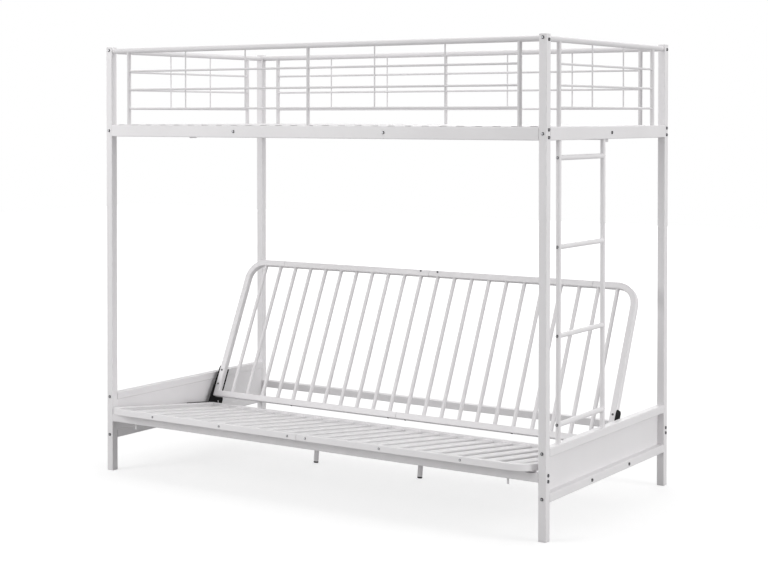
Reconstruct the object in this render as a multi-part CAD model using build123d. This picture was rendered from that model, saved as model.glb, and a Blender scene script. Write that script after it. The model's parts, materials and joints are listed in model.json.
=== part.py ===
from build123d import *
import os
from math import cos, radians, sin

# Bunk bed of white metal tube with a sofa below that slides forward and folds flat.
# Lengths are in millimetres. X runs along the bed, Y from its front to its back, Z up.
# The model is built with Y = 0 at the front face of the posts, and moved at the end.

# Overall size
frame_length = 1990.0
frame_depth = 1010.0
frame_height = 1706.0

# Square tube of the posts and of the lower frame
post_size = 30.0
post_corner = 3.0
tube_wall = 1.2
cap_height = 4.0
cap_edge = 1.5
foot_height = 6.0
foot_plug_depth = 14.0
cap_plug_depth = 5.0
plug_gap = 0.2

# Upper bed rails and guards
bed_rail_bottom = 1348.0
bed_rail_height = 46.0
bed_rail_width = 25.0
guard_rail_drop = 16.0
guard_rail_radius = 10.0
end_stile_radius = 8.0
mid_stile_radius = 6.5
guard_rod_radius = 4.0
guard_wire_radius = 2.75
round_wall = 1.0
long_stile_inset = 110.0
end_stile_inset = 118.0
rod_height_shares = (0.22, 0.476, 0.723)
wires_per_bay = 2

# Deck of the upper bed
deck_slat_count = 27
deck_slat_width = 36.0
deck_slat_height = 10.0
deck_slat_wall = 0.8
deck_end_inset = 61.0
deck_support_width = 20.0
deck_support_height = 30.0
deck_support_spacing = 683.0
deck_beam_width = 25.0
deck_beam_height = 42.0
deck_end_plate_width = 45.0
deck_end_plate_height = 50.0
deck_end_plate_thickness = 3.0
deck_gusset_length = 18.0

# Ladder at the right end
ladder_tube_radius = 9.0
ladder_width = 345.0
rung_count = 4
rung_pitch = 303.7
first_rung_rise = 64.0
rung_bolt_head_radius = 5.0

# Lower end panels and base rails
panel_top_z = 313.0
panel_bottom_z = 130.0
panel_rail_height = 30.0
sheet_thickness = 1.2
sheet_recess = 26.0
sheet_lip_height = 25.0
sheet_bolt_spacing = 310.0
base_rail_top = 229.0
base_rail_height = 30.0

# Bolts of the frame
bolt_shank_radius = 2.5
bolt_hole_gap = 0.25
bolt_head_radius = 5.5
bolt_head_height = 4.5
bolt_edge_share = 0.55
socket_width_share = 0.8
socket_depth_share = 0.5
bolt_reach = 14.0
crossing_bolt_offset = 3.5
bed_bolt_spacing = 26.0
base_bolt_spacing = 20.0

# Sofa seat and backrest: bent square tube of one section
sofa_tube_size = 25.0
sofa_tube_corner = 3.0
sofa_length = 1890.0
side_gap = 0.3
seat_depth = 665.0
seat_bend_radius = 75.0
back_height = 630.0
back_bend_radius = 90.0
sofa_slat_count = 22
seat_slat_width = 45.0
seat_slat_height = 10.0
seat_slat_wall = 0.8
back_bar_radius = 8.0
fold_gap = 40.0
splice_length = 130.0
splice_gap = 1.5
splice_fit_gap = 0.1
splice_bolt_spacing = 82.0
back_seam_spacing = 1496.0
seam_sleeve_length = 60.0
top_bolt_rise = 6.0
bottom_bolt_spacing = 1054.0
seat_bolt_spacing = 728.0
seat_outer_bolt_spacing = 1394.0
small_head_radius = 4.0
small_head_height = 2.2
small_shank_radius = 1.8
small_shank_reach = 5.0

# Sofa place and motion
seat_tilt = 6.7
back_fold = 72.2
seat_overhang = 64.0
back_edge_inset = 10.0
leg_radius = 10.0
leg_spacing = 505.0
leg_offset = -111.0
leg_foot_height = 6.0
floor_gap = 0.3

# Glide straps between the front base rail and the seat
strap_thickness = 1.5
strap_gap = 0.3
strap_length_left = 81.0
strap_length_right = 115.0
strap_front_inset = 3.0
strap_tab_width = 8.0
strap_tab_drop = 58.0

# Hinge plates, pins and guide studs
hinge_plate = 3.0
hinge_gap = 0.3
pin_radius = 5.0
pin_running_gap = 0.05
pin_head_radius = 9.0
pin_head_height = 4.0
stud_radius = 4.0
slot_gap = 0.3
slot_radius = 45.0
slot_middle_angle = -90.0
slot_end_angle = 1.0
hinge_edge = 13.0
lobe_front = 28.0
lobe_low_end = 40.0
lobe_high_end = 45.0
lobe_rear = 63.0
back_arm_length = 176.0
back_arm_width = 36.0
back_flange_lip = 3.0
back_flange_inset = 10.0
seat_arm_length = 166.0
seat_arm_rise = 2.0
seat_arm_height = 24.0
spacer_radius = 6.0
spacer_place_shares = (0.62, 0.9)
arm_bolt_share = 0.88
arm_bolt_spacing = 62.0
plate_corner = 10.0

# Amount by which cutting shapes pass the faces that they cut
overrun = 2.0

# Places worked out from the sizes
half_length = frame_length / 2
inner_half = half_length - post_size
end_x = half_length - post_size / 2
front_y = post_size / 2
rear_y = frame_depth - post_size / 2
inner_depth = frame_depth - 2 * post_size
bed_rail_top = bed_rail_bottom + bed_rail_height
bed_rail_z = bed_rail_bottom + bed_rail_height / 2
base_rail_z = base_rail_top - base_rail_height / 2
panel_top_rail_z = panel_top_z - panel_rail_height / 2
panel_bottom_rail_z = panel_bottom_z + panel_rail_height / 2
post_top = frame_height - cap_height
guard_rail_z = frame_height - guard_rail_drop
nodes = {}


# Sections and straight members

def square_section(width, height, corner, wall):
    outer = RectangleRounded(width, height, corner)
    inner = RectangleRounded(width - 2 * wall, height - 2 * wall, corner - wall)
    return outer - inner


def ring_section(radius, wall):
    return Circle(radius) - Circle(radius - wall)


def flat_oval_section(width, height, wall):
    outer = SlotOverall(width, height)
    inner = SlotOverall(width - 2 * wall, height - 2 * wall)
    return outer - inner


def beam(section, start, end):
    run = Vector(*end) - Vector(*start)
    side = Vector(0, 1, 0) if abs(run.X) > 0 else Vector(1, 0, 0)
    return extrude(Plane(origin=start, x_dir=side, z_dir=run) * section, run.length)


def solid_rod(radius, start, end):
    return beam(Circle(radius), start, end)


def place(shape, point, outward):
    """Puts a shape modelled on Z at a point, with its +Z turned outward."""
    return Plane(origin=point, z_dir=outward) * shape


# Bolts: a button head with a six-sided socket, seated on Z = 0, and a shank below

def button_bolt(head_radius, head_height, shank_radius, reach):
    head = extrude(Circle(head_radius), head_height)
    rim = head.edges().sort_by(Axis.Z)[-1]
    head = fillet(rim, head_height * bolt_edge_share)
    socket_depth = head_height * socket_depth_share
    socket = RegularPolygon(head_radius * socket_width_share / 2, 6)
    recess = Pos(0, 0, head_height - socket_depth) * extrude(socket, head_height)
    shank = Pos(0, 0, -reach) * extrude(Circle(shank_radius), reach + head_height - socket_depth)
    return (head + shank) - recess


def bolt_hole(shank_radius, reach):
    return Pos(0, 0, -reach) * extrude(Circle(shank_radius + bolt_hole_gap), reach + overrun)


through_reach = post_size + bolt_reach
frame_bolt = button_bolt(bolt_head_radius, bolt_head_height, bolt_shank_radius, through_reach)
frame_hole = bolt_hole(bolt_shank_radius, through_reach)


# Posts, with their caps, feet and bolts

post_section = square_section(post_size, post_size, post_corner, tube_wall)
plug_size = post_size - 2 * (tube_wall + plug_gap)
plug_corner = post_corner - tube_wall
long_bolt_heights = (
    guard_rail_z - crossing_bolt_offset,
    bed_rail_z + bed_bolt_spacing / 2,
    bed_rail_z - bed_bolt_spacing / 2,
    base_rail_z + base_bolt_spacing / 2,
    base_rail_z - base_bolt_spacing / 2,
)
cross_bolt_heights = (
    guard_rail_z + crossing_bolt_offset,
    bed_rail_z,
    panel_top_rail_z,
    panel_bottom_rail_z,
)


def post_bolt_places(side, face):
    """Points and outward directions of one post's bolts; side and face are -1 or 1."""
    y = front_y if face < 0 else rear_y
    outer_y = y + face * post_size / 2
    along = [((side * half_length, y, z), (side, 0, 0)) for z in long_bolt_heights]
    across = [((side * end_x, outer_y, z), (0, face, 0)) for z in cross_bolt_heights]
    return along + across


def post_cap():
    head = extrude(RectangleRounded(post_size, post_size, post_corner), cap_height)
    head = fillet(head.edges().group_by(Axis.Z)[-1], cap_edge)
    plug = Pos(0, 0, -cap_plug_depth) * extrude(
        RectangleRounded(plug_size, plug_size, plug_corner), cap_plug_depth)
    return head + plug


def post_foot():
    pad = extrude(RectangleRounded(post_size, post_size, post_corner), foot_height)
    plug = Pos(0, 0, foot_height) * extrude(
        RectangleRounded(plug_size, plug_size, plug_corner), foot_plug_depth)
    return pad + plug


nodes["post_caps"] = []
nodes["post_feet"] = []
nodes["post_bolts"] = []
for end_name, side in (("left", -1), ("right", 1)):
    for face_name, face in (("front", -1), ("rear", 1)):
        y = front_y if face < 0 else rear_y
        post = beam(post_section, (side * end_x, y, foot_height), (side * end_x, y, post_top))
        for point, outward in post_bolt_places(side, face):
            post -= place(frame_hole, point, outward)
            nodes["post_bolts"].append(place(frame_bolt, point, outward))
        nodes[f"post_{face_name}_{end_name}"] = [post]
        nodes["post_caps"].append(Pos(side * end_x, y, post_top) * post_cap())
        nodes["post_feet"].append(Pos(side * end_x, y, 0) * post_foot())


# Guards: a round top rail on stiles, thin rods between the stiles and wires down to the lowest rod

def guard(span, stiles):
    """Guard along +X from the origin; stiles holds each stile's place and radius."""
    rail_start = (0, 0, guard_rail_z)
    rail_end = (span, 0, guard_rail_z)
    rail_core = solid_rod(guard_rail_radius, rail_start, rail_end)
    rail = beam(ring_section(guard_rail_radius, round_wall), rail_start, rail_end)
    stile_cores = []
    stile_tubes = []
    for x, radius in stiles:
        foot = (x, 0, bed_rail_top)
        head = (x, 0, guard_rail_z)
        stile_cores.append(solid_rod(radius, foot, head))
        stile_tubes.append(beam(ring_section(radius, round_wall), foot, head) - rail_core)
    clear_height = guard_rail_z - bed_rail_top
    rod_heights = [bed_rail_top + share * clear_height for share in rod_height_shares]
    first_x = stiles[0][0]
    last_x = stiles[-1][0]
    rod_cores = [solid_rod(guard_rod_radius, (first_x, 0, z), (last_x, 0, z)) for z in rod_heights]
    rods = []
    for core in rod_cores:
        for stile_core in stile_cores:
            core = core - stile_core
        rods += core.solids()
    wires = []
    bay_count = len(stiles) - 1
    for bay in range(bay_count):
        bay_start = stiles[bay][0]
        bay_width = stiles[bay + 1][0] - bay_start
        for index in range(wires_per_bay):
            x = bay_start + bay_width * (index + 1) / (wires_per_bay + 1)
            wire = solid_rod(guard_wire_radius, (x, 0, rod_heights[0]), (x, 0, guard_rail_z))
            wire = wire - rail_core
            for core in rod_cores:
                wire = wire - core
            wires += wire.solids()
    return {"rail": [rail], "stiles": stile_tubes, "rods": rods, "wires": wires}


long_span = 2 * inner_half
long_stiles = (
    (long_stile_inset - post_size, end_stile_radius),
    (long_span / 2, mid_stile_radius),
    (long_span - long_stile_inset + post_size, end_stile_radius),
)
end_stiles = (
    (end_stile_inset - post_size, end_stile_radius),
    (inner_depth - end_stile_inset + post_size, end_stile_radius),
)
guard_sites = {
    "front": (Pos(-inner_half, front_y, 0), guard(long_span, long_stiles)),
    "rear": (Pos(-inner_half, rear_y, 0), guard(long_span, long_stiles)),
    "left": (Pos(-end_x, post_size, 0) * Rot(0, 0, 90), guard(inner_depth, end_stiles)),
    "right": (Pos(end_x, post_size, 0) * Rot(0, 0, 90), guard(inner_depth, end_stiles)),
}
for name, (site, pieces) in guard_sites.items():
    for kind, shapes in pieces.items():
        nodes[f"guard_{kind}_{name}"] = [site * shape for shape in shapes]


# Upper bed rails, outer faces flush with the posts, with the bolts of the deck supports

bed_section = square_section(bed_rail_width, bed_rail_height, post_corner, tube_wall)
bed_line = half_length - bed_rail_width / 2
bed_front_y = bed_rail_width / 2
bed_rear_y = frame_depth - bed_rail_width / 2
deck_support_x = deck_support_spacing / 2
support_reach = bed_rail_width + bolt_reach
support_bolt = button_bolt(bolt_head_radius, bolt_head_height, bolt_shank_radius, support_reach)
support_hole = bolt_hole(bolt_shank_radius, support_reach)
nodes["rail_bolts"] = []

for name, face in (("front", -1), ("rear", 1)):
    y = bed_front_y if face < 0 else bed_rear_y
    outer_y = y + face * bed_rail_width / 2
    rail = beam(bed_section, (-inner_half, y, bed_rail_z), (inner_half, y, bed_rail_z))
    for x in (-deck_support_x, deck_support_x):
        rail -= place(support_hole, (x, outer_y, bed_rail_z), (0, face, 0))
        nodes["rail_bolts"].append(place(support_bolt, (x, outer_y, bed_rail_z), (0, face, 0)))
    nodes[f"bed_rail_{name}"] = [rail]

deck_top_z = bed_rail_z + deck_support_height / 2
deck_beam_z = deck_top_z - deck_beam_height / 2
deck_beam_end = half_length - bed_rail_width - deck_end_plate_thickness
middle_y = frame_depth / 2


def deck_end_plate(side):
    """Plate between an end rail and the middle beam, with a gusset under the beam."""
    plate_x = side * (deck_beam_end + deck_end_plate_thickness / 2)
    plate = Pos(plate_x, middle_y, deck_top_z - deck_end_plate_height / 2) * Box(
        deck_end_plate_thickness, deck_end_plate_width, deck_end_plate_height)
    beam_bottom = deck_top_z - deck_beam_height
    gusset_low = deck_top_z - deck_end_plate_height
    gusset = make_face(Polyline(
        (side * deck_beam_end, beam_bottom),
        (side * (deck_beam_end - deck_gusset_length), beam_bottom),
        (side * deck_beam_end, gusset_low), close=True))
    front = Plane(origin=(0, middle_y + deck_end_plate_thickness / 2, 0), x_dir=(1, 0, 0), z_dir=(0, -1, 0))
    return plate + extrude(front * gusset, deck_end_plate_thickness)


beam_section = square_section(deck_beam_width, deck_beam_height, post_corner, tube_wall)
middle_beam = beam(
    beam_section, (-deck_beam_end, middle_y, deck_beam_z), (deck_beam_end, middle_y, deck_beam_z))
deck_supports = []
support_section = square_section(deck_support_width, deck_support_height, post_corner, tube_wall)
for name, side in (("left", -1), ("right", 1)):
    rail = beam(bed_section, (side * bed_line, post_size, bed_rail_z),
                (side * bed_line, frame_depth - post_size, bed_rail_z))
    bolt_point = (side * half_length, middle_y, bed_rail_z)
    bolt_cut = place(support_hole, bolt_point, (side, 0, 0))
    nodes["rail_bolts"].append(place(support_bolt, bolt_point, (side, 0, 0)))
    nodes[f"bed_rail_{name}"] = [rail - bolt_cut]
    deck_supports.append(deck_end_plate(side) - bolt_cut)
    for outer_y, face in ((bed_rail_width, -1), (frame_depth - bed_rail_width, 1)):
        deck_supports.append(beam(support_section, (side * deck_support_x, outer_y, bed_rail_z), (
            side * deck_support_x, middle_y + face * deck_beam_width / 2, bed_rail_z)))
deck_supports.append(middle_beam)
nodes["deck_supports"] = deck_supports


# Slats of the upper bed, on the supports and just above the rails

deck_slat_z = deck_top_z + deck_slat_height / 2
deck_slat_pitch = (frame_length - 2 * deck_end_inset) / (deck_slat_count - 1)
deck_section = flat_oval_section(deck_slat_width, deck_slat_height, deck_slat_wall)
nodes["deck_slats"] = []
for index in range(deck_slat_count):
    x = (index - (deck_slat_count - 1) / 2) * deck_slat_pitch
    nodes["deck_slats"].append(beam(deck_section, (x, bed_rail_width, deck_slat_z),
                                    (x, frame_depth - bed_rail_width, deck_slat_z)))


# Lower end panels: two square rails and a sheet set in between them, with a lip on the lower rail

sheet_low_z = panel_bottom_z + panel_rail_height
sheet_high_z = panel_top_z - panel_rail_height
sheet_outer_x = half_length - sheet_recess
lip_inner_x = inner_half - sheet_thickness
sheet_reach = post_size + sheet_thickness
sheet_bolt = button_bolt(bolt_head_radius, bolt_head_height, bolt_shank_radius, sheet_reach)
sheet_hole = bolt_hole(bolt_shank_radius, sheet_reach + overrun)


def sheet_part(side, inner_x, outer_x, low_z, high_z):
    """Flat piece of an end sheet between two places along X and two heights."""
    center = (side * (inner_x + outer_x) / 2, middle_y, (low_z + high_z) / 2)
    return Pos(*center) * Box(outer_x - inner_x, inner_depth, high_z - low_z)


nodes["panel_bolts"] = []
for name, side in (("left", -1), ("right", 1)):
    top_rail = beam(post_section, (side * end_x, post_size, panel_top_rail_z),
                    (side * end_x, frame_depth - post_size, panel_top_rail_z))
    bottom_rail = beam(post_section, (side * end_x, post_size, panel_bottom_rail_z),
                       (side * end_x, frame_depth - post_size, panel_bottom_rail_z))
    fold_top_z = sheet_low_z + sheet_thickness
    sheet = sheet_part(side, sheet_outer_x - sheet_thickness, sheet_outer_x, sheet_low_z, sheet_high_z)
    sheet += sheet_part(side, lip_inner_x, sheet_outer_x, sheet_low_z, fold_top_z)
    sheet += sheet_part(side, lip_inner_x, inner_half, sheet_low_z - sheet_lip_height, fold_top_z)
    for offset in (-sheet_bolt_spacing / 2, sheet_bolt_spacing / 2):
        point = (side * half_length, middle_y + offset, panel_bottom_rail_z)
        hole = place(sheet_hole, point, (side, 0, 0))
        bottom_rail -= hole
        sheet -= hole
        nodes["panel_bolts"].append(place(sheet_bolt, point, (side, 0, 0)))
    nodes[f"panel_top_rail_{name}"] = [top_rail]
    nodes[f"panel_bottom_rail_{name}"] = [bottom_rail]
    nodes[f"panel_sheet_{name}"] = [sheet]


# Base rails between the posts

for name, y in (("front", front_y), ("rear", rear_y)):
    nodes[f"base_rail_{name}"] = [
        beam(post_section, (-inner_half, y, base_rail_z), (inner_half, y, base_rail_z))]


# Ladder between the right bed rail and the right panel's top rail

ladder_section = ring_section(ladder_tube_radius, round_wall)
ladder_front_y = end_stile_inset
ladder_rear_y = end_stile_inset + ladder_width
rung_reach = 2 * ladder_tube_radius + bolt_reach
rung_bolt = button_bolt(rung_bolt_head_radius, bolt_head_height, bolt_shank_radius, rung_reach)
rung_hole = bolt_hole(bolt_shank_radius, rung_reach)
nodes["ladder_uprights"] = []
nodes["ladder_rungs"] = []
nodes["ladder_bolts"] = []
upright_cores = []
for y in (ladder_front_y, ladder_rear_y):
    upright_cores.append(solid_rod(ladder_tube_radius, (end_x, y, panel_top_z),
                                   (end_x, y, bed_rail_bottom)))
rung_heights = [panel_top_z + first_rung_rise + index * rung_pitch for index in range(rung_count)]
for z in rung_heights:
    rung = beam(ladder_section, (end_x, ladder_front_y, z), (end_x, ladder_rear_y, z))
    for core in upright_cores:
        rung = rung - core
    nodes["ladder_rungs"].append(rung)
for y, face in ((ladder_front_y, -1), (ladder_rear_y, 1)):
    upright = beam(ladder_section, (end_x, y, panel_top_z), (end_x, y, bed_rail_bottom))
    for z in rung_heights:
        point = (end_x, y + face * ladder_tube_radius, z)
        upright -= place(rung_hole, point, (0, face, 0))
        nodes["ladder_bolts"].append(place(rung_bolt, point, (0, face, 0)))
    nodes["ladder_uprights"].append(upright)


# Sofa: modelled flat as a bed, with its pieces then moved to the sofa pose

tube_half = sofa_tube_size / 2
pad_rise = strap_thickness + 2 * strap_gap
sofa_z = base_rail_top + pad_rise + tube_half
tilt_y = post_size
tilt_z = base_rail_top + strap_gap
back_rear_y = frame_depth - back_edge_inset
back_front_y = back_rear_y - back_height
pivot_y = back_front_y - fold_gap
seat_front_y = pivot_y - seat_depth
seat_travel = -seat_overhang - seat_front_y
back_half = sofa_length / 2
seat_half = back_half - side_gap
slat_pitch = (sofa_length - sofa_tube_size) / (sofa_slat_count + 1)
slat_places = [(index - (sofa_slat_count - 1) / 2) * slat_pitch for index in range(sofa_slat_count)]

tilt_to_rest = Pos(0, tilt_y, tilt_z) * Rot(-seat_tilt, 0, 0) * Pos(0, -tilt_y, -tilt_z)
seat_to_rest = tilt_to_rest * Pos(0, seat_travel, 0)
back_turn = Pos(0, pivot_y, sofa_z) * Rot(back_fold, 0, 0) * Pos(0, -pivot_y, -sofa_z)
back_to_rest = seat_to_rest * back_turn


def moved_point(location, x, y, z):
    """The point that a location moves (x, y, z) to."""
    return (location * Pos(x, y, z)).position


def bent_half(side, half_width, bend_radius, edge_y, end_y, wall):
    """Half of a bent frame, from the splice at the middle of its outer edge round to its end.

    edge_y is the outer edge that holds the splice and end_y the end of the side tube.
    With wall 0 the tube is solid, as a cutter for the pieces that meet it."""
    turn = 1 if end_y > edge_y else -1
    line_y = edge_y + turn * tube_half
    line_x = side * (half_width - tube_half)
    middle_radius = bend_radius - tube_half
    start = (side * splice_gap / 2, line_y, sofa_z)
    bend_start = (line_x - side * middle_radius, line_y, sofa_z)
    bend_end = (line_x, line_y + turn * middle_radius, sofa_z)
    end = (line_x, end_y, sofa_z)
    first = Line(start, bend_start)
    bend = TangentArc(bend_start, bend_end, tangent=(side, 0, 0))
    last = Line(bend_end, end)
    path = Wire([first.edge(), bend.edge(), last.edge()])
    section = RectangleRounded(sofa_tube_size, sofa_tube_size, sofa_tube_corner)
    if wall > 0:
        section = square_section(sofa_tube_size, sofa_tube_size, sofa_tube_corner, wall)
    return sweep(Plane(origin=start, x_dir=(0, 1, 0), z_dir=(side, 0, 0)) * section, path)


def end_plate(side, half_width, end_y, inward):
    """Plate that closes the end of a side tube, inside the tube."""
    size = sofa_tube_size - 2 * tube_wall
    plate = RectangleRounded(size, size, sofa_tube_corner - tube_wall)
    origin = (side * (half_width - tube_half), end_y, sofa_z)
    return extrude(Plane(origin=origin, x_dir=(1, 0, 0), z_dir=(0, inward, 0)) * plate, tube_wall)


def splice_sleeve(x, y, length):
    """Inner tube that joins two tubes end to end at (x, y)."""
    size = sofa_tube_size - 2 * (tube_wall + splice_fit_gap)
    section = square_section(size, size, sofa_tube_corner - tube_wall, tube_wall)
    return beam(section, (x - length / 2, y, sofa_z), (x + length / 2, y, sofa_z))


small_bolt = button_bolt(small_head_radius, small_head_height, small_shank_radius, small_shank_reach)
small_hole = bolt_hole(small_shank_radius, small_shank_reach)


def drill(shapes, places):
    """Cuts the small bolts' holes into each shape."""
    drilled = []
    for shape in shapes:
        for point, outward in places:
            shape = shape - place(small_hole, point, outward)
        drilled.append(shape)
    return drilled


# Seat

seat_halves = {}
seat_cutters = []
seat_bolt_x = [sign * spacing / 2 for sign in (-1, 1)
               for spacing in (splice_bolt_spacing, seat_bolt_spacing, seat_outer_bolt_spacing)]
seat_front_bolts = [((x, seat_front_y, sofa_z), (0, -1, 0)) for x in seat_bolt_x]
splice_x = [sign * splice_bolt_spacing / 2 for sign in (-1, 1)]
seat_rear_bolts = [((x, pivot_y, sofa_z), (0, 1, 0)) for x in splice_x]
for name, side in (("left", -1), ("right", 1)):
    half = bent_half(side, seat_half, seat_bend_radius, seat_front_y, pivot_y, tube_wall)
    half = half + end_plate(side, seat_half, pivot_y, -1)
    seat_halves[name] = drill([half], seat_front_bolts)
    seat_cutters.append(bent_half(side, seat_half, seat_bend_radius, seat_front_y, pivot_y, 0))

rear_tube_y = pivot_y - tube_half
rear_tube_half = seat_half - sofa_tube_size
seat_splices = drill([splice_sleeve(0, seat_front_y + tube_half, splice_length)], seat_front_bolts)
seat_splices += drill([splice_sleeve(0, rear_tube_y, splice_length)], seat_rear_bolts)
sofa_section = square_section(sofa_tube_size, sofa_tube_size, sofa_tube_corner, tube_wall)
rear_tubes = drill([
    beam(sofa_section, (side * splice_gap / 2, rear_tube_y, sofa_z), (side * rear_tube_half, rear_tube_y, sofa_z))
    for side in (-1, 1)], seat_rear_bolts)

seat_slat_section = flat_oval_section(seat_slat_width, seat_slat_height, seat_slat_wall)
seat_slats = []
slat_front_y = seat_front_y + sofa_tube_size
slat_rear_y = pivot_y - sofa_tube_size
for x in slat_places:
    slat = beam(seat_slat_section, (x, slat_front_y, sofa_z), (x, slat_rear_y, sofa_z))
    for cutter in seat_cutters:
        slat = slat - cutter
    seat_slats.append(slat)

leg_y = rear_tube_y
leg_top_z = sofa_z - tube_half
rest_leg_top = moved_point(seat_to_rest, 0, leg_y, leg_top_z)
leg_length = (rest_leg_top.Z - floor_gap - leg_radius * sin(radians(seat_tilt))) / cos(radians(seat_tilt))
legs = []
leg_feet = []
for sign in (-1, 1):
    x = leg_offset + sign * leg_spacing / 2
    foot_top_z = leg_top_z - leg_length + leg_foot_height
    legs.append(beam(ring_section(leg_radius, round_wall), (x, leg_y, foot_top_z), (x, leg_y, leg_top_z)))
    foot = extrude(Circle(leg_radius), leg_foot_height)
    foot = fillet(foot.edges().sort_by(Axis.Z)[0], leg_foot_height / 3)
    leg_feet.append(Pos(x, leg_y, foot_top_z - leg_foot_height) * foot)


# Hinge plates: one on the backrest against its side tube, one on the seat outside it

back_plate_x = back_half + hinge_plate
seat_plate_inner_x = back_plate_x + hinge_gap
seat_plate_outer_x = seat_plate_inner_x + hinge_plate


def plate_solid(side, outline, inner_x):
    """Extrudes an outline drawn in Y and Z about the pivot outward from inner_x."""
    origin = (side * inner_x, pivot_y, sofa_z)
    if side > 0:
        plane = Plane(origin=origin, x_dir=(0, 1, 0), z_dir=(1, 0, 0))
    else:
        plane = Plane(origin=origin, x_dir=(0, -1, 0), z_dir=(-1, 0, 0))
        outline = mirror(outline, Plane.YZ)
    return extrude(plane * outline, hinge_plate)


def rounded_outline(points, radius):
    face = make_face(Polyline(*points, close=True))
    return fillet(face.vertices(), radius)


def slot_outline(radius):
    """Arc slot about the pivot; radius is that of the slot's round ends."""
    reach = back_fold / 2 + slot_end_angle
    low = slot_middle_angle - reach
    high = slot_middle_angle + reach
    arc = CenterArc((0, 0), slot_radius, low, high - low)
    return SlotArc(arc, 2 * radius)


back_outline = rounded_outline((
    (-lobe_low_end, lobe_front),
    (lobe_high_end, lobe_front - (lobe_front - tube_half) * lobe_high_end / back_arm_length),
    (back_arm_length, tube_half),
    (back_arm_length, tube_half - back_arm_width),
    (lobe_high_end + back_arm_width, tube_half - back_arm_width),
    (lobe_high_end, -lobe_rear),
    (-lobe_low_end, -lobe_rear),
), plate_corner)
back_outline -= slot_outline(stud_radius + slot_gap)
back_outline -= Circle(pin_radius + pin_running_gap)

stud_angle = radians(slot_middle_angle + back_fold / 2)
stud_y = slot_radius * cos(stud_angle)
stud_z = slot_radius * sin(stud_angle)
seat_arm_top = tube_half + seat_arm_rise
seat_outline = rounded_outline((
    (-seat_arm_length, seat_arm_top),
    (stud_y + hinge_edge, seat_arm_top),
    (stud_y + hinge_edge, stud_z - hinge_edge),
    (stud_y - hinge_edge, stud_z - hinge_edge),
    (-lobe_low_end, seat_arm_top - seat_arm_height),
    (-seat_arm_length, seat_arm_top - seat_arm_height),
), plate_corner)


def back_flange(side):
    """Flange of a back plate, behind the side tube of the backrest."""
    inner_x = back_half - sofa_tube_size - back_flange_lip
    outer_x = back_half + hinge_plate
    start_y = back_front_y + sofa_tube_size + back_flange_lip
    end_y = pivot_y + back_arm_length - back_flange_inset
    flange_z = sofa_z - tube_half - hinge_gap - hinge_plate / 2
    return Pos(side * (inner_x + outer_x) / 2, (start_y + end_y) / 2, flange_z) * Box(
        outer_x - inner_x, end_y - start_y, hinge_plate)


pin_reach = hinge_plate + hinge_gap + hinge_plate
seat_plates = []
pins = []
back_plates = []
arm_bolt_places = []
for side in (-1, 1):
    back_plates.append(plate_solid(side, back_outline, back_half) + back_flange(side))
    plate = plate_solid(side, seat_outline, seat_plate_inner_x)
    for share in spacer_place_shares:
        spacer_y = pivot_y - share * seat_arm_length
        spacer_start = (side * seat_half, spacer_y, sofa_z)
        plate += beam(Circle(spacer_radius), spacer_start, (side * seat_plate_inner_x, spacer_y, sofa_z))
    pin = place(
        extrude(Circle(pin_head_radius), pin_head_height) + Pos(0, 0, -pin_reach) * extrude(
            Circle(pin_radius), pin_reach),
        (side * seat_plate_outer_x, pivot_y, sofa_z), (side, 0, 0))
    stud = place(
        extrude(Circle(stud_radius + hinge_plate / 2), pin_head_height / 2) + Pos(
            0, 0, -pin_reach) * extrude(Circle(stud_radius), pin_reach),
        (side * seat_plate_outer_x, pivot_y + stud_y, sofa_z + stud_z), (side, 0, 0))
    seat_plates.append(plate - pin - stud)
    pins += [pin, stud]
    for index in range(2):
        bolt_y = pivot_y + back_arm_length * arm_bolt_share - index * arm_bolt_spacing
        arm_bolt_places.append(((side * (back_half - tube_half), bolt_y, sofa_z + tube_half), (0, 0, 1)))


# Backrest

back_halves = {}
back_cutters = []
top_tube_y = back_rear_y - tube_half
bottom_y = back_front_y + tube_half
bottom_bolt_x = splice_x + [sign * bottom_bolt_spacing / 2 for sign in (-1, 1)]
back_bolt_places = [((x, top_tube_y + top_bolt_rise, sofa_z + tube_half), (0, 0, 1)) for x in splice_x]
back_bottom_bolts = [((x, back_front_y, sofa_z), (0, -1, 0)) for x in bottom_bolt_x]
for name, side in (("left", -1), ("right", 1)):
    half = bent_half(side, back_half, back_bend_radius, back_rear_y, back_front_y, tube_wall)
    half = half + end_plate(side, back_half, back_front_y, 1)
    half = half - Pos(side * back_seam_spacing / 2, top_tube_y, sofa_z) * Box(
        splice_gap, sofa_tube_size + overrun, sofa_tube_size + overrun)
    back_halves[name] = drill([half], back_bolt_places + arm_bolt_places)
    back_cutters.append(bent_half(side, back_half, back_bend_radius, back_rear_y, back_front_y, 0))

bottom_half = back_half - sofa_tube_size
back_bottom_tubes = drill(
    [beam(sofa_section, (side * splice_gap / 2, bottom_y, sofa_z), (side * bottom_half, bottom_y, sofa_z))
     for side in (-1, 1)], back_bottom_bolts)
back_splices = drill([splice_sleeve(0, top_tube_y, splice_length)], back_bolt_places)
back_splices += drill([splice_sleeve(0, bottom_y, splice_length)], back_bottom_bolts)
for sign in (-1, 1):
    back_splices.append(splice_sleeve(sign * back_seam_spacing / 2, top_tube_y, seam_sleeve_length))

back_bars = []
for x in slat_places:
    bar = beam(ring_section(back_bar_radius, seat_slat_wall), (x, back_front_y + sofa_tube_size, sofa_z),
               (x, back_rear_y - sofa_tube_size, sofa_z))
    for cutter in back_cutters:
        bar = bar - cutter
    back_bars.append(bar)


# Glide straps: a plate on the front base rail below the seat's side tube, with a tab behind the rail

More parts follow.
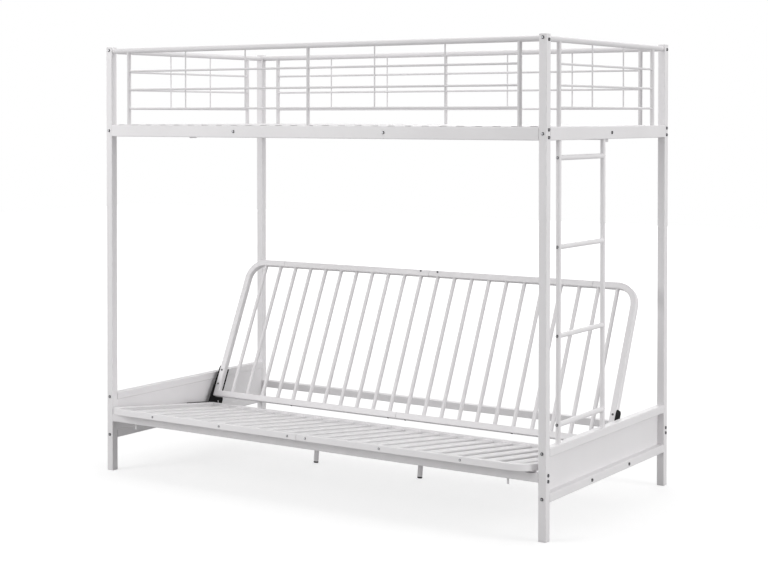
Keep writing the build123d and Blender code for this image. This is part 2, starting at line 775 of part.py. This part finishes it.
straps = []
strap_z = base_rail_top + strap_gap + strap_thickness / 2
for side, strap_length in ((-1, strap_length_left), (1, strap_length_right)):
    strap_outer_x = seat_half
    strap_inner_x = strap_outer_x - strap_length
    plate_depth = post_size + strap_gap + strap_thickness - strap_front_inset
    plate_y = strap_front_inset + plate_depth / 2
    strap_plate = Pos(side * (strap_outer_x - strap_length / 2), plate_y, strap_z) * Box(
        strap_length, plate_depth, strap_thickness)
    straps.append(tilt_to_rest * strap_plate)
    tab_x = side * (strap_inner_x + strap_tab_width / 2)
    tab_point = moved_point(tilt_to_rest, tab_x, post_size, strap_z)
    tab_top = tab_point.Z
    tab_y = post_size + strap_gap + strap_thickness / 2
    tab = Pos(tab_point.X, tab_y, tab_top - strap_tab_drop / 2) * Box(
        strap_tab_width, strap_thickness, strap_tab_drop)
    straps[-1] = straps[-1] + tab


# Sofa nodes in the rest pose

seat_nodes = {
    "seat_tube_left": seat_halves["left"],
    "seat_tube_right": seat_halves["right"],
    "seat_splices": seat_splices,
    "seat_rear_tube": rear_tubes,
    "seat_slats": seat_slats,
    "seat_legs": legs,
    "leg_feet": leg_feet,
    "seat_bolts": [place(small_bolt, *spot) for spot in seat_front_bolts + seat_rear_bolts],
    "hinge_seat_plates": seat_plates,
    "hinge_pins": pins,
}
back_nodes = {
    "back_tube_left": back_halves["left"],
    "back_tube_right": back_halves["right"],
    "back_bottom_tube": back_bottom_tubes,
    "back_splices": back_splices,
    "back_bars": back_bars,
    "hinge_back_plates": back_plates,
    "back_bolts": [place(small_bolt, *spot)
                   for spot in back_bolt_places + back_bottom_bolts + arm_bolt_places],
}
nodes["glide_straps"] = straps
for name, shapes in seat_nodes.items():
    nodes[name] = [seat_to_rest * shape for shape in shapes]
for name, shapes in back_nodes.items():
    nodes[name] = [back_to_rest * shape for shape in shapes]


# The origin goes to the middle of the outline on the floor

solids = {name: [solid for shape in shapes for solid in shape.solids()] for name, shapes in nodes.items()}
outline = Compound([solid for group in solids.values() for solid in group]).bounding_box()
shift = Pos(-(outline.min.X + outline.max.X) / 2, -(outline.min.Y + outline.max.Y) / 2, 0)
rest_pivot = moved_point(shift * seat_to_rest, 0, pivot_y, sofa_z)
rest_tilt = moved_point(shift, 0, tilt_y, tilt_z)

os.makedirs("parts", exist_ok=True)
for name, group in solids.items():
    export_step(Compound([shift * solid for solid in group]), f"parts/{name}.step")
    print(name, len(group))
print("outline", outline.min, outline.max)
print("tilt axis", rest_tilt)
print("fold axis", rest_pivot)
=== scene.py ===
import json
from math import atan, cos, radians, sin

import bpy
from mathutils import Matrix, Vector

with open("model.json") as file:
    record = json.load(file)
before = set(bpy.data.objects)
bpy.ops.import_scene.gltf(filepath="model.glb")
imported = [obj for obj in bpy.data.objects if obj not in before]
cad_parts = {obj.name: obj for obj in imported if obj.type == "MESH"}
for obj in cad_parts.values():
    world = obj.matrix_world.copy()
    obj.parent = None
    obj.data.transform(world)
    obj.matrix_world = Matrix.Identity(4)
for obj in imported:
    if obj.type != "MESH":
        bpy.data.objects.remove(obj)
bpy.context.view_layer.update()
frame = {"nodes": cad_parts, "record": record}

# Driving values, in metres unless the name says otherwise

# Camera: its place and turn, and the lens in pixels of the photograph
photo_width_px = 768
camera_place = (3.4389, -5.1578, 1.4292)
camera_yaw_deg = 33.449
camera_pitch_deg = 1.044
camera_roll_deg = 0.017
camera_focal_px = 1576.6
camera_shift_down_px = 143.0
sensor_width_mm = 36.0

# Colours of the finishes
white_coat_color = (0.82, 0.805, 0.815)
# Guard colour: the same white coat painted darker, painted shade so the thin guard rods read greyer
guard_painted_shade_color = (0.73, 0.715, 0.725)
white_plastic_color = (0.77, 0.755, 0.765)
black_coat_color = (0.008, 0.008, 0.009)
black_plastic_color = (0.03, 0.03, 0.03)
# Bolt colours: a painted highlight on the flats of the heads and a painted dark reflection on their
# rims and shanks
bolt_painted_highlight_color = (0.56, 0.56, 0.58)
bolt_painted_dark_rim_color = (0.02, 0.02, 0.022)
sleeve_color = (0.42, 0.42, 0.42)

# Roughness and gloss of the finishes
white_coat_rough = (0.34, 0.46)
white_coat_gloss = 0.5
guard_coat_gloss = 0.4
white_plastic_rough = 0.5
black_coat_rough = (0.5, 0.65)
black_coat_gloss = 0.12
black_plastic_rough = 0.48
sleeve_rough = 0.35
bolt_rough = (0.25, 0.5)

# Coat: tone changes, thickness waves and orange peel; scales are per metre
coat_tone_scale = 3.0
coat_tone_detail = 3.0
coat_tone_range = (0.35, 0.65)
coat_shade = 0.96
coat_rough_scale = 9.0
coat_rough_detail = 4.0
coat_wave_scale = 60.0
coat_wave_strength = 0.12
coat_wave_height = 0.0006
coat_peel_scale = 900.0
coat_peel_strength = 0.18
coat_peel_height = 0.0002

# Plastic: mottling and moulded grain
plastic_tone_scale = 40.0
plastic_detail = 3.0
plastic_tone_range = (0.3, 0.7)
plastic_shade = 0.93
plastic_rough_scale = 120.0
plastic_rough_spread = 0.06
plastic_grain_scale = 1500.0
plastic_grain_strength = 0.3
plastic_grain_height = 0.0002

# Bare and plated steel: scuffs and draw lines
steel_tone_scale = 250.0
steel_tone_range = (0.35, 0.7)
steel_low_shade = 0.7
steel_high_shade = 1.3
steel_detail = 4.0
steel_rough_scale = 400.0
steel_rough_below = 0.1
steel_rough_above = 0.12
steel_line_scale = 1200.0
steel_line_detail = 3.0
steel_line_strength = 0.25
steel_line_height = 0.0002
# Range of sideways facing over which a bolt face turns from the painted dark reflection to the
# painted highlight
bolt_painted_highlight_range = (0.9, 0.995)

# Floor: what it bounces, and what the camera sees
floor_color = (0.45, 0.45, 0.45)
seen_floor_color = (0.46, 0.46, 0.46)
seen_floor_glow = 0.6
far_floor_glow = 1.0
near_floor_reach = 2.2
far_floor_reach = 5.5
floor_half_width = 14.0
floor_rough = 0.9

# Light from the surroundings, by the direction's height
sky_light = 0.6
ground_light = 0.28
sky_from = -0.35
sky_to = 0.35
plain_white = (1.0, 1.0, 1.0, 1.0)

# Lamps: name, place, width and power in watts; all point at the same place
lamp_target = (0.0, 0.0, 0.8)
lamps = (
    ("key", (-3.4, -5.2, 2.5), 3.0, 145.0),
    ("right", (11.6, 1.2, 3.8), 5.0, 540.0),
    ("back", (-1.0, 4.8, 2.6), 3.0, 50.0),
    ("top", (0.0, 0.2, 5.0), 3.0, 60.0),
)


# Material building blocks

class Nodes:
    """Short names for adding shader nodes to one material."""

    def __init__(self, name):
        self.material = bpy.data.materials.new(name)
        self.material.use_nodes = True
        self.tree = self.material.node_tree
        self.shader = self.tree.nodes["Principled BSDF"]

    def add(self, kind, **settings):
        node = self.tree.nodes.new(kind)
        for key, value in settings.items():
            setattr(node, key, value)
        return node

    def link(self, output, target):
        self.tree.links.new(output, target)

    def coordinates(self):
        return self.add("ShaderNodeTexCoord").outputs["Object"]

    def noise(self, scale, detail=2.0):
        node = self.add("ShaderNodeTexNoise")
        node.inputs["Scale"].default_value = scale
        node.inputs["Detail"].default_value = detail
        self.link(self.coordinates(), node.inputs["Vector"])
        return node.outputs["Fac"]

    def ramp(self, factor, ends, low_color, high_color):
        node = self.add("ShaderNodeValToRGB")
        first, last = node.color_ramp.elements
        first.position, last.position = ends
        first.color = (*low_color, 1.0)
        last.color = (*high_color, 1.0)
        self.link(factor, node.inputs["Fac"])
        return node.outputs["Color"]

    def spread(self, factor, low, high):
        node = self.add("ShaderNodeMapRange")
        node.inputs["To Min"].default_value = low
        node.inputs["To Max"].default_value = high
        self.link(factor, node.inputs["Value"])
        return node.outputs["Result"]

    def bump(self, height, strength, distance, normal=None):
        node = self.add("ShaderNodeBump")
        node.inputs["Strength"].default_value = strength
        node.inputs["Distance"].default_value = distance
        self.link(height, node.inputs["Height"])
        if normal is not None:
            self.link(normal, node.inputs["Normal"])
        return node.outputs["Normal"]


def shaded(color, factor):
    return tuple(channel * factor for channel in color)


def powder_coat(name, color, rough_range, gloss):
    """Sprayed and baked coat: fine orange peel, slow thickness waves and faint tone changes."""
    mat = Nodes(name)
    mat.shader.inputs["Specular IOR Level"].default_value = gloss
    slow = mat.noise(coat_tone_scale, coat_tone_detail)
    tone = mat.ramp(slow, coat_tone_range, shaded(color, coat_shade), color)
    mat.link(tone, mat.shader.inputs["Base Color"])
    rough = mat.spread(mat.noise(coat_rough_scale, coat_rough_detail), *rough_range)
    mat.link(rough, mat.shader.inputs["Roughness"])
    waves = mat.bump(mat.noise(coat_wave_scale), coat_wave_strength, coat_wave_height)
    peel = mat.bump(mat.noise(coat_peel_scale), coat_peel_strength, coat_peel_height, waves)
    mat.link(peel, mat.shader.inputs["Normal"])
    return mat.material


def moulded_plastic(name, color, rough):
    """Moulded plastic: fine matte grain and a slight mottling."""
    mat = Nodes(name)
    mottling = mat.noise(plastic_tone_scale, plastic_detail)
    tone = mat.ramp(mottling, plastic_tone_range, shaded(color, plastic_shade), color)
    mat.link(tone, mat.shader.inputs["Base Color"])
    uneven = mat.noise(plastic_rough_scale, plastic_detail)
    matte = mat.spread(uneven, rough - plastic_rough_spread, rough + plastic_rough_spread)
    mat.link(matte, mat.shader.inputs["Roughness"])
    grain = mat.bump(mat.noise(plastic_grain_scale), plastic_grain_strength, plastic_grain_height)
    mat.link(grain, mat.shader.inputs["Normal"])
    return mat.material


def worn_steel(mat, tone, low_rough, high_rough):
    """Metal of the given tone, with uneven shine and fine draw lines."""
    mat.shader.inputs["Metallic"].default_value = 1.0
    mat.link(tone, mat.shader.inputs["Base Color"])
    rough = mat.spread(mat.noise(steel_rough_scale, steel_detail), low_rough, high_rough)
    mat.link(rough, mat.shader.inputs["Roughness"])
    lines = mat.noise(steel_line_scale, steel_line_detail)
    mat.link(mat.bump(lines, steel_line_strength, steel_line_height), mat.shader.inputs["Normal"])
    return mat.material


def plated_steel(name, color, rough):
    """Bare drawn steel, with scuffs."""
    mat = Nodes(name)
    scuffs = mat.noise(steel_tone_scale, steel_detail)
    dark = shaded(color, steel_low_shade)
    bright = shaded(color, steel_high_shade)
    tone = mat.ramp(scuffs, steel_tone_range, dark, bright)
    return worn_steel(mat, tone, rough - steel_rough_below, rough + steel_rough_above)


def bolt_steel(name):
    """Zinc bolt: faces that point sideways, the flats of the heads, carry a painted highlight, and
    the turned rim and the shank carry a painted dark reflection.
    """
    mat = Nodes(name)
    facing = mat.add("ShaderNodeVectorMath", operation="ABSOLUTE")
    mat.link(mat.add("ShaderNodeTexCoord").outputs["Normal"], facing.inputs[0])
    axes = mat.add("ShaderNodeSeparateXYZ")
    mat.link(facing.outputs["Vector"], axes.inputs["Vector"])
    larger = mat.add("ShaderNodeMath", operation="MAXIMUM")
    mat.link(axes.outputs["X"], larger.inputs[0])
    mat.link(axes.outputs["Y"], larger.inputs[1])
    # Painted highlight on faces that point sideways, painted dark reflection on all other faces of
    # the bolt
    tone = mat.ramp(larger.outputs["Value"], bolt_painted_highlight_range, bolt_painted_dark_rim_color, bolt_painted_highlight_color)
    return worn_steel(mat, tone, *bolt_rough)


slot_materials = {
    "white_coat": powder_coat("white_coat", white_coat_color, white_coat_rough, white_coat_gloss),
    # Darker copy of the white coat for the guard, with painted shade
    "guard_coat_painted_shade": powder_coat("guard_coat_painted_shade", guard_painted_shade_color, white_coat_rough, guard_coat_gloss),
    "white_plastic": moulded_plastic("white_plastic", white_plastic_color, white_plastic_rough),
    "black_coat": powder_coat("black_coat", black_coat_color, black_coat_rough, black_coat_gloss),
    "black_plastic": moulded_plastic("black_plastic", black_plastic_color, black_plastic_rough),
    "bolt_steel": bolt_steel("bolt_steel"),
    "sleeve_steel": plated_steel("sleeve_steel", sleeve_color, sleeve_rough),
}


# Finish of the frame's own nodes

def dress_nodes():
    for part in frame["record"]["subparts"]:
        mesh = frame["nodes"][part["node"]].data
        mesh.materials.clear()
        slot = part["material_slot"]
        # Guard nodes get the white coat with painted shade, darker than the rest of the frame
        if "guard" in part["node"]:
            slot = "guard_coat_painted_shade"
        mesh.materials.append(slot_materials[slot])


dress_nodes()


# Camera at the photograph's viewing angle

def add_camera():
    yaw = radians(camera_yaw_deg)
    pitch = radians(camera_pitch_deg)
    roll = radians(camera_roll_deg)
    forward = Vector((-sin(yaw) * cos(pitch), cos(yaw) * cos(pitch), -sin(pitch)))
    level_right = Vector((cos(yaw), sin(yaw), 0.0))
    level_up = level_right.cross(forward)
    right = level_right * cos(roll) + level_up * sin(roll)
    up = level_up * cos(roll) - level_right * sin(roll)
    turn = Matrix((right, up, -forward)).transposed()
    data = bpy.data.cameras.new("camera")
    data.sensor_width = sensor_width_mm
    data.lens = camera_focal_px / photo_width_px * sensor_width_mm
    data.shift_y = -camera_shift_down_px / photo_width_px
    camera = bpy.data.objects.new("camera", data)
    camera.matrix_world = Matrix.Translation(camera_place) @ turn.to_4x4()
    bpy.context.scene.collection.objects.link(camera)
    bpy.context.scene.camera = camera


add_camera()


# Floor and soft studio light

def floor_material():
    """Pale floor that bounces plain light; the camera sees it near white, with the shadow kept."""
    mat = Nodes("floor")
    mat.shader.inputs["Base Color"].default_value = (*floor_color, 1.0)
    mat.shader.inputs["Roughness"].default_value = floor_rough
    mat.shader.inputs["Specular IOR Level"].default_value = 0.0
    seen = mat.add("ShaderNodeBsdfDiffuse")
    seen.inputs["Color"].default_value = (*seen_floor_color, 1.0)
    glow = mat.add("ShaderNodeEmission")
    reach = mat.add("ShaderNodeVectorMath", operation="LENGTH")
    mat.link(mat.coordinates(), reach.inputs[0])
    fade = mat.add("ShaderNodeMapRange")
    fade.inputs["From Min"].default_value = near_floor_reach
    fade.inputs["From Max"].default_value = far_floor_reach
    fade.inputs["To Min"].default_value = seen_floor_glow
    fade.inputs["To Max"].default_value = far_floor_glow
    mat.link(reach.outputs["Value"], fade.inputs["Value"])
    mat.link(fade.outputs["Result"], glow.inputs["Strength"])
    both = mat.add("ShaderNodeAddShader")
    mat.link(seen.outputs["BSDF"], both.inputs[0])
    mat.link(glow.outputs["Emission"], both.inputs[1])
    mix = mat.add("ShaderNodeMixShader")
    mat.link(mat.add("ShaderNodeLightPath").outputs["Is Camera Ray"], mix.inputs["Fac"])
    mat.link(mat.shader.outputs["BSDF"], mix.inputs[1])
    mat.link(both.outputs["Shader"], mix.inputs[2])
    mat.link(mix.outputs["Shader"], mat.tree.nodes["Material Output"].inputs["Surface"])
    return mat.material


def add_floor():
    half = floor_half_width
    mesh = bpy.data.meshes.new("floor")
    corners = [(-half, -half, 0.0), (half, -half, 0.0), (half, half, 0.0), (-half, half, 0.0)]
    mesh.from_pydata(corners, [], [(0, 1, 2, 3)])
    floor = bpy.data.objects.new("floor", mesh)
    mesh.materials.append(floor_material())
    bpy.context.scene.collection.objects.link(floor)


def add_area_light(name, place, size, power):
    data = bpy.data.lights.new(name, "AREA")
    data.shape = "SQUARE"
    data.size = size
    data.energy = power
    light = bpy.data.objects.new(name, data)
    light.location = place
    aim = Vector(lamp_target) - Vector(place)
    light.rotation_euler = aim.to_track_quat("-Z", "Y").to_euler()
    bpy.context.scene.collection.objects.link(light)


def add_world():
    """Pale light, stronger from above, with plain white where the camera sees past the floor."""
    world = bpy.data.worlds.new("studio")
    bpy.context.scene.world = world
    world.use_nodes = True
    tree = world.node_tree
    tree.nodes.clear()
    out = tree.nodes.new("ShaderNodeOutputWorld")
    mix = tree.nodes.new("ShaderNodeMixShader")
    path = tree.nodes.new("ShaderNodeLightPath")
    lit = tree.nodes.new("ShaderNodeBackground")
    seen = tree.nodes.new("ShaderNodeBackground")
    lit.inputs["Color"].default_value = plain_white
    axes = tree.nodes.new("ShaderNodeSeparateXYZ")
    rise = tree.nodes.new("ShaderNodeMapRange")
    rise.inputs["From Min"].default_value = sky_from
    rise.inputs["From Max"].default_value = sky_to
    rise.inputs["To Min"].default_value = ground_light
    rise.inputs["To Max"].default_value = sky_light
    tree.links.new(tree.nodes.new("ShaderNodeTexCoord").outputs["Generated"], axes.inputs["Vector"])
    tree.links.new(axes.outputs["Z"], rise.inputs["Value"])
    tree.links.new(rise.outputs["Result"], lit.inputs["Strength"])
    seen.inputs["Strength"].default_value = 1.0
    seen.inputs["Color"].default_value = plain_white
    tree.links.new(path.outputs["Is Camera Ray"], mix.inputs["Fac"])
    tree.links.new(lit.outputs["Background"], mix.inputs[1])
    tree.links.new(seen.outputs["Background"], mix.inputs[2])
    tree.links.new(mix.outputs["Shader"], out.inputs["Surface"])


add_floor()
for name, place, size, power in lamps:
    add_area_light(name, place, size, power)
add_world()
bpy.context.scene.view_settings.view_transform = "Standard"
